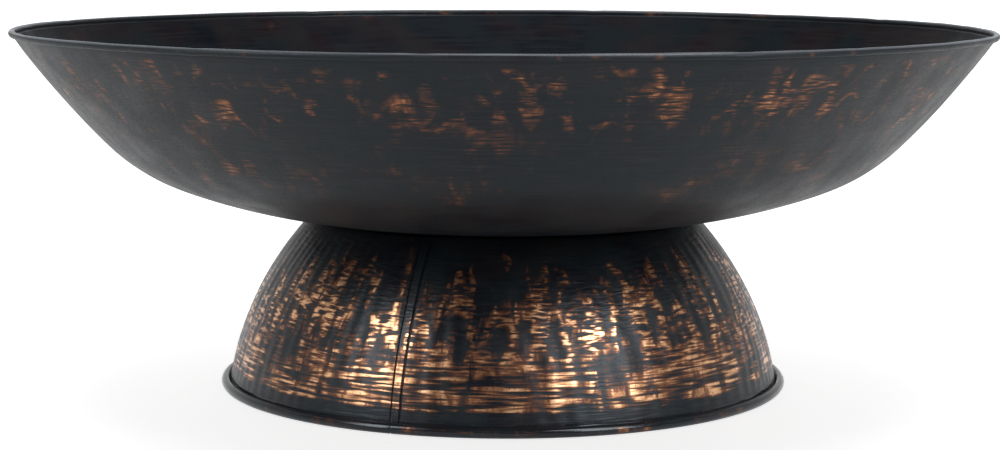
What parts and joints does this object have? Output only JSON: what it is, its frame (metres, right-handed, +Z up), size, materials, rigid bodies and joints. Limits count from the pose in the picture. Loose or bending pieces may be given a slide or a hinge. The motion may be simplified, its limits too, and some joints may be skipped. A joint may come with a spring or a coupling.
{
  "type": "fire pit with grate",
  "caption": "Shallow round fire bowl with a rolled rim, bolted to a domed pedestal with a rolled foot, holding a lift-out grate of parallel bars on legs.",
  "frame": {"origin": "on the ground, below the centre of the bowl", "axes": "+Z up; front is -Y; the grate's bars run along X and its lifting loops stand at +Y and -Y"},
  "size_m": [0.85, 0.85, 0.3132],
  "materials": {
    "bowl_copper": "satin blue-black patina over hand-worked copper, rubbed back to copper in fine streaks",
    "pedestal_copper": "dark patina rubbed back to bright copper in level strokes over upright flutes",
    "wire_steel": "plain drawn wire",
    "plate_steel": "matt black paint",
    "zinc_steel": "zinc plated",
    "grate_steel": "heat-resisting black paint, greyed by fire"
  },
  "bodies": {
    "fire_bowl": {"bowl_shell": "bowl_copper", "rim_wire": "wire_steel", "pedestal_skirt": "pedestal_copper", "foot_wire": "wire_steel", "seat_plate": "plate_steel", "seat_bolts": "zinc_steel", "head_washers": "zinc_steel", "nut_washers": "zinc_steel", "seat_nuts": "zinc_steel"},
    "grate": {"grate_ring": "grate_steel", "grate_bar_1": "grate_steel", "grate_bar_2": "grate_steel", "grate_bar_3": "grate_steel", "grate_bar_4": "grate_steel", "grate_bar_5": "grate_steel", "grate_bar_6": "grate_steel", "grate_bar_7": "grate_steel", "grate_bar_8": "grate_steel", "grate_bar_9": "grate_steel", "grate_bar_10": "grate_steel", "grate_bar_11": "grate_steel", "grate_brace_1": "grate_steel", "grate_brace_2": "grate_steel", "grate_leg_1": "grate_steel", "grate_leg_2": "grate_steel", "grate_leg_3": "grate_steel", "grate_leg_4": "grate_steel", "grate_loop_1": "grate_steel", "grate_loop_2": "grate_steel"}
  },
  "joints": [
    {"name": "grate_lift", "type": "slide", "parent": "fire_bowl", "child": "grate", "axis": [0, 0, 1], "range_m": [0, 0.2]}
  ]
}
